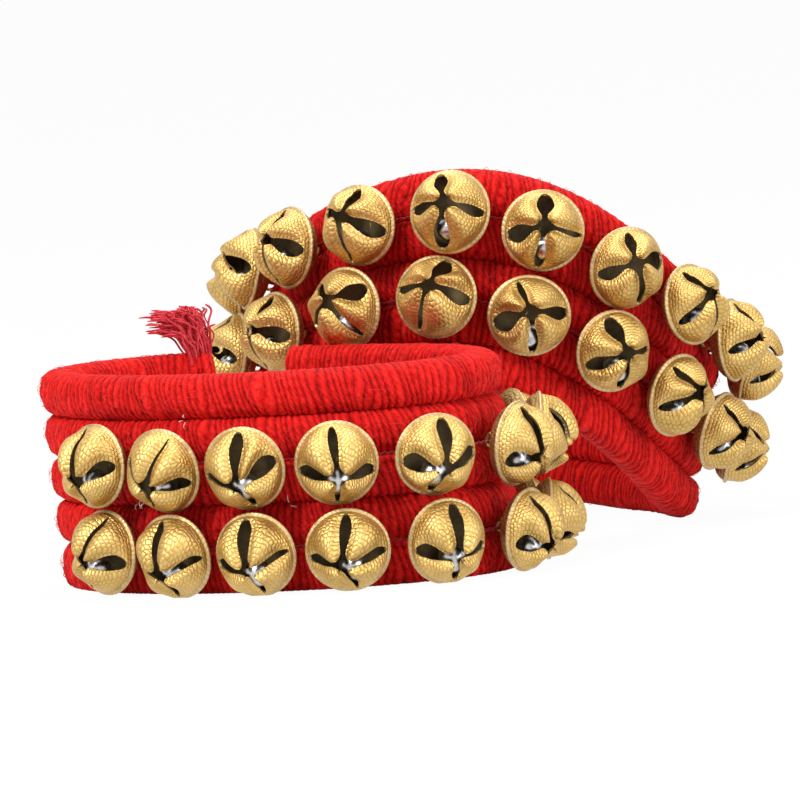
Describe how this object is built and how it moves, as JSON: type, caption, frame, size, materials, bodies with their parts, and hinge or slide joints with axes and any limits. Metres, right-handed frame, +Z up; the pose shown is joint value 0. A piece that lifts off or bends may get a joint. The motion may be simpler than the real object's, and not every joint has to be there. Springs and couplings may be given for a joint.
{
  "type": "ghungroo ankle bells",
  "caption": "Pair of padded yarn-rope anklets set with rows of slotted brass jingle bells; each bell can turn on its sewn eye and one anklet lifts off.",
  "frame": {"origin": "on the ground under the middle of the box round both anklets", "axes": "+Z up; +Y away from the viewer of the picture; +X to the right"},
  "size_m": [0.1494, 0.1824, 0.0759],
  "materials": {
    "yarn": "wound wool yarn, matt",
    "lacing": "twisted cotton cord",
    "brass": "pebbled stamped brass"
  },
  "bodies": {
    "upright_band": {"upright_lacing_high": "lacing", "upright_lacing_low": "lacing", "upright_rope_1": "yarn", "upright_rope_2": "yarn", "upright_rope_3": "yarn", "upright_rope_4": "yarn", "upright_rope_5": "yarn", "upright_tie_left": "yarn", "upright_tie_right": "yarn"},
    "leaning_band": {"leaning_lacing_high": "lacing", "leaning_lacing_low": "lacing", "leaning_rope_1": "yarn", "leaning_rope_2": "yarn", "leaning_rope_3": "yarn", "leaning_rope_4": "yarn", "leaning_rope_5": "yarn", "leaning_tie_left": "yarn", "leaning_tie_right": "yarn"},
    "leaning_bell_high_01": {"leaning_bell_high_01": "brass"},
    "leaning_bell_high_02": {"leaning_bell_high_02": "brass"},
    "leaning_bell_high_03": {"leaning_bell_high_03": "brass"},
    "leaning_bell_high_04": {"leaning_bell_high_04": "brass"},
    "leaning_bell_high_05": {"leaning_bell_high_05": "brass"},
    "leaning_bell_high_06": {"leaning_bell_high_06": "brass"},
    "leaning_bell_high_07": {"leaning_bell_high_07": "brass"},
    "leaning_bell_high_08": {"leaning_bell_high_08": "brass"},
    "leaning_bell_high_09": {"leaning_bell_high_09": "brass"},
    "leaning_bell_high_10": {"leaning_bell_high_10": "brass"},
    "leaning_bell_low_01": {"leaning_bell_low_01": "brass"},
    "leaning_bell_low_02": {"leaning_bell_low_02": "brass"},
    "leaning_bell_low_03": {"leaning_bell_low_03": "brass"},
    "leaning_bell_low_04": {"leaning_bell_low_04": "brass"},
    "leaning_bell_low_05": {"leaning_bell_low_05": "brass"},
    "leaning_bell_low_06": {"leaning_bell_low_06": "brass"},
    "leaning_bell_low_07": {"leaning_bell_low_07": "brass"},
    "leaning_bell_low_08": {"leaning_bell_low_08": "brass"},
    "leaning_bell_low_09": {"leaning_bell_low_09": "brass"},
    "leaning_bell_low_10": {"leaning_bell_low_10": "brass"},
    "upright_bell_high_01": {"upright_bell_high_01": "brass"},
    "upright_bell_high_02": {"upright_bell_high_02": "brass"},
    "upright_bell_high_03": {"upright_bell_high_03": "brass"},
    "upright_bell_high_04": {"upright_bell_high_04": "brass"},
    "upright_bell_high_05": {"upright_bell_high_05": "brass"},
    "upright_bell_high_06": {"upright_bell_high_06": "brass"},
    "upright_bell_high_07": {"upright_bell_high_07": "brass"},
    "upright_bell_high_08": {"upright_bell_high_08": "brass"},
    "upright_bell_high_09": {"upright_bell_high_09": "brass"},
    "upright_bell_high_10": {"upright_bell_high_10": "brass"},
    "upright_bell_low_01": {"upright_bell_low_01": "brass"},
    "upright_bell_low_02": {"upright_bell_low_02": "brass"},
    "upright_bell_low_03": {"upright_bell_low_03": "brass"},
    "upright_bell_low_04": {"upright_bell_low_04": "brass"},
    "upright_bell_low_05": {"upright_bell_low_05": "brass"},
    "upright_bell_low_06": {"upright_bell_low_06": "brass"},
    "upright_bell_low_07": {"upright_bell_low_07": "brass"},
    "upright_bell_low_08": {"upright_bell_low_08": "brass"},
    "upright_bell_low_09": {"upright_bell_low_09": "brass"},
    "upright_bell_low_10": {"upright_bell_low_10": "brass"}
  },
  "joints": [
    {"name": "leaning_band_lift", "type": "slide", "parent": "upright_band", "child": "leaning_band", "axis": [0, 0, 1], "range_m": [0, 0.08]},
    {"name": "leaning_bell_high_01_turn", "type": "hinge", "parent": "leaning_band", "child": "leaning_bell_high_01", "pos_m": [-0.02842, 0.04703, 0.05318], "axis": [-0.9889, 0.112, 0.0978], "range_deg": [-25, 25]},
    {"name": "leaning_bell_high_02_turn", "type": "hinge", "parent": "leaning_band", "child": "leaning_bell_high_02", "pos_m": [-0.02696, 0.03047, 0.0561], "axis": [-0.9549, -0.2152, 0.2046], "range_deg": [-25, 25]},
    {"name": "leaning_bell_high_03_turn", "type": "hinge", "parent": "leaning_band", "child": "leaning_bell_high_03", "pos_m": [-0.01915, 0.01537, 0.0612], "axis": [-0.8285, -0.545, 0.1287], "range_deg": [-25, 25]},
    {"name": "leaning_bell_high_04_turn", "type": "hinge", "parent": "leaning_band", "child": "leaning_bell_high_04", "pos_m": [-0.0061, 0.00362, 0.06579], "axis": [-0.5765, -0.8139, 0.0725], "range_deg": [-25, 25]},
    {"name": "leaning_bell_high_05_turn", "type": "hinge", "parent": "leaning_band", "child": "leaning_bell_high_05", "pos_m": [0.01002, -0.00309, 0.06699], "axis": [-0.1948, -0.9619, 0.1918], "range_deg": [-25, 25]},
    {"name": "leaning_bell_high_06_turn", "type": "hinge", "parent": "leaning_band", "child": "leaning_bell_high_06", "pos_m": [0.0265, -0.00388, 0.06319], "axis": [0.1367, -0.9902, -0.0274], "range_deg": [-25, 25]},
    {"name": "leaning_bell_high_07_turn", "type": "hinge", "parent": "leaning_band", "child": "leaning_bell_high_07", "pos_m": [0.04099, 0.00108, 0.05495], "axis": [0.4477, -0.8793, -0.1626], "range_deg": [-25, 25]},
    {"name": "leaning_bell_high_08_turn", "type": "hinge", "parent": "leaning_band", "child": "leaning_bell_high_08", "pos_m": [0.05215, 0.01093, 0.04482], "axis": [0.7624, -0.6436, 0.0674], "range_deg": [-25, 25]},
    {"name": "leaning_bell_high_09_turn", "type": "hinge", "parent": "leaning_band", "child": "leaning_bell_high_09", "pos_m": [0.05947, 0.02451, 0.03629], "axis": [0.9271, -0.374, 0.0256], "range_deg": [-25, 25]},
    {"name": "leaning_bell_high_10_turn", "type": "hinge", "parent": "leaning_band", "child": "leaning_bell_high_10", "pos_m": [0.06274, 0.04054, 0.0323], "axis": [0.9481, -0.0897, -0.3052], "range_deg": [-25, 25]},
    {"name": "leaning_bell_low_01_turn", "type": "hinge", "parent": "leaning_band", "child": "leaning_bell_low_01", "pos_m": [-0.03229, 0.04576, 0.03667], "axis": [-0.9869, 0.1135, 0.115], "range_deg": [-25, 25]},
    {"name": "leaning_bell_low_02_turn", "type": "hinge", "parent": "leaning_band", "child": "leaning_bell_low_02", "pos_m": [-0.03083, 0.0292, 0.0396], "axis": [-0.9611, -0.2175, 0.1704], "range_deg": [-25, 25]},
    {"name": "leaning_bell_low_03_turn", "type": "hinge", "parent": "leaning_band", "child": "leaning_bell_low_03", "pos_m": [-0.02302, 0.01409, 0.04469], "axis": [-0.8348, -0.5452, 0.0768], "range_deg": [-25, 25]},
    {"name": "leaning_bell_low_04_turn", "type": "hinge", "parent": "leaning_band", "child": "leaning_bell_low_04", "pos_m": [-0.00997, 0.00235, 0.04929], "axis": [-0.5765, -0.8139, 0.0725], "range_deg": [-25, 25]},
    {"name": "leaning_bell_low_05_turn", "type": "hinge", "parent": "leaning_band", "child": "leaning_bell_low_05", "pos_m": [0.00615, -0.00436, 0.05048], "axis": [-0.2031, -0.9663, 0.1582], "range_deg": [-25, 25]},
    {"name": "leaning_bell_low_06_turn", "type": "hinge", "parent": "leaning_band", "child": "leaning_bell_low_06", "pos_m": [0.02263, -0.00515, 0.04668], "axis": [0.1283, -0.9898, -0.0613], "range_deg": [-25, 25]},
    {"name": "leaning_bell_low_07_turn", "type": "hinge", "parent": "leaning_band", "child": "leaning_bell_low_07", "pos_m": [0.03712, -0.00019, 0.03844], "axis": [0.4573, -0.8799, -0.1291], "range_deg": [-25, 25]},
    {"name": "leaning_bell_low_08_turn", "type": "hinge", "parent": "leaning_band", "child": "leaning_bell_low_08", "pos_m": [0.04828, 0.00965, 0.02831], "axis": [0.7098, -0.6742, -0.2042], "range_deg": [-25, 25]},
    {"name": "leaning_bell_low_09_turn", "type": "hinge", "parent": "leaning_band", "child": "leaning_bell_low_09", "pos_m": [0.0556, 0.02324, 0.01979], "axis": [0.8707, -0.404, -0.2807], "range_deg": [-25, 25]},
    {"name": "leaning_bell_low_10_turn", "type": "hinge", "parent": "leaning_band", "child": "leaning_bell_low_10", "pos_m": [0.05887, 0.03926, 0.01579], "axis": [0.9425, -0.0908, -0.3217], "range_deg": [-25, 25]},
    {"name": "upright_bell_high_01_turn", "type": "hinge", "parent": "upright_band", "child": "upright_bell_high_01", "pos_m": [-0.06002, -0.05782, 0.02585], "axis": [-0.7333, -0.679, 0.0349], "range_deg": [-25, 25]},
    {"name": "upright_bell_high_02_turn", "type": "hinge", "parent": "upright_band", "child": "upright_bell_high_02", "pos_m": [-0.04753, -0.06839, 0.02585], "axis": [-0.5442, -0.8243, -0.1564], "range_deg": [-25, 25]},
    {"name": "upright_bell_high_03_turn", "type": "hinge", "parent": "upright_band", "child": "upright_bell_high_03", "pos_m": [-0.03286, -0.0757, 0.02585], "axis": [-0.3262, -0.9323, -0.1564], "range_deg": [-25, 25]},
    {"name": "upright_bell_high_04_turn", "type": "hinge", "parent": "upright_band", "child": "upright_bell_high_04", "pos_m": [-0.01654, -0.07887, 0.02585], "axis": [-0.0333, -0.9897, -0.1392], "range_deg": [-25, 25]},
    {"name": "upright_bell_high_05_turn", "type": "hinge", "parent": "upright_band", "child": "upright_bell_high_05", "pos_m": [0.00038, -0.07592, 0.02585], "axis": [0.3934, -0.9113, -0.1219], "range_deg": [-25, 25]},
    {"name": "upright_bell_high_06_turn", "type": "hinge", "parent": "upright_band", "child": "upright_bell_high_06", "pos_m": [0.0139, -0.06419, 0.02585], "axis": [0.8568, -0.501, -0.1219], "range_deg": [-25, 25]},
    {"name": "upright_bell_high_07_turn", "type": "hinge", "parent": "upright_band", "child": "upright_bell_high_07", "pos_m": [0.01776, -0.04687, 0.02585], "axis": [0.9926, 0.0615, -0.1045], "range_deg": [-25, 25]},
    {"name": "upright_bell_high_08_turn", "type": "hinge", "parent": "upright_band", "child": "upright_bell_high_08", "pos_m": [0.01321, -0.03049, 0.02585], "axis": [0.8892, 0.4359, -0.1392], "range_deg": [-25, 25]},
    {"name": "upright_bell_high_09_turn", "type": "hinge", "parent": "upright_band", "child": "upright_bell_high_09", "pos_m": [0.00385, -0.01686, 0.02585], "axis": [0.733, 0.6659, -0.1392], "range_deg": [-25, 25]},
    {"name": "upright_bell_high_10_turn", "type": "hinge", "parent": "upright_band", "child": "upright_bell_high_10", "pos_m": [-0.00854, -0.00617, 0.02585], "axis": [0.5529, 0.8216, -0.1392], "range_deg": [-25, 25]},
    {"name": "upright_bell_low_01_turn", "type": "hinge", "parent": "upright_band", "child": "upright_bell_low_01", "pos_m": [-0.059, -0.05782, 0.00885], "axis": [-0.7333, -0.679, 0.0349], "range_deg": [-25, 25]},
    {"name": "upright_bell_low_02_turn", "type": "hinge", "parent": "upright_band", "child": "upright_bell_low_02", "pos_m": [-0.04651, -0.06839, 0.00885], "axis": [-0.5468, -0.8283, -0.1219], "range_deg": [-25, 25]},
    {"name": "upright_bell_low_03_turn", "type": "hinge", "parent": "upright_band", "child": "upright_bell_low_03", "pos_m": [-0.03184, -0.0757, 0.00885], "axis": [-0.3271, -0.9347, -0.1392], "range_deg": [-25, 25]},
    {"name": "upright_bell_low_04_turn", "type": "hinge", "parent": "upright_band", "child": "upright_bell_low_04", "pos_m": [-0.01552, -0.07887, 0.00885], "axis": [-0.0333, -0.9897, -0.1392], "range_deg": [-25, 25]},
    {"name": "upright_bell_low_05_turn", "type": "hinge", "parent": "upright_band", "child": "upright_bell_low_05", "pos_m": [0.0014, -0.07592, 0.00885], "axis": [0.3934, -0.9113, -0.1219], "range_deg": [-25, 25]},
    {"name": "upright_bell_low_06_turn", "type": "hinge", "parent": "upright_band", "child": "upright_bell_low_06", "pos_m": [0.01492, -0.06419, 0.00885], "axis": [0.8568, -0.501, -0.1219], "range_deg": [-25, 25]},
    {"name": "upright_bell_low_07_turn", "type": "hinge", "parent": "upright_band", "child": "upright_bell_low_07", "pos_m": [0.01878, -0.04687, 0.00885], "axis": [0.9957, 0.0617, -0.0698], "range_deg": [-25, 25]},
    {"name": "upright_bell_low_08_turn", "type": "hinge", "parent": "upright_band", "child": "upright_bell_low_08", "pos_m": [0.01423, -0.03049, 0.00885], "axis": [0.8912, 0.4369, -0.1219], "range_deg": [-25, 25]},
    {"name": "upright_bell_low_09_turn", "type": "hinge", "parent": "upright_band", "child": "upright_bell_low_09", "pos_m": [0.00487, -0.01686, 0.00885], "axis": [0.7347, 0.6674, -0.1219], "range_deg": [-25, 25]},
    {"name": "upright_bell_low_10_turn", "type": "hinge", "parent": "upright_band", "child": "upright_bell_low_10", "pos_m": [-0.00752, -0.00617, 0.00885], "axis": [0.5542, 0.8234, -0.1219], "range_deg": [-25, 25]}
  ]
}
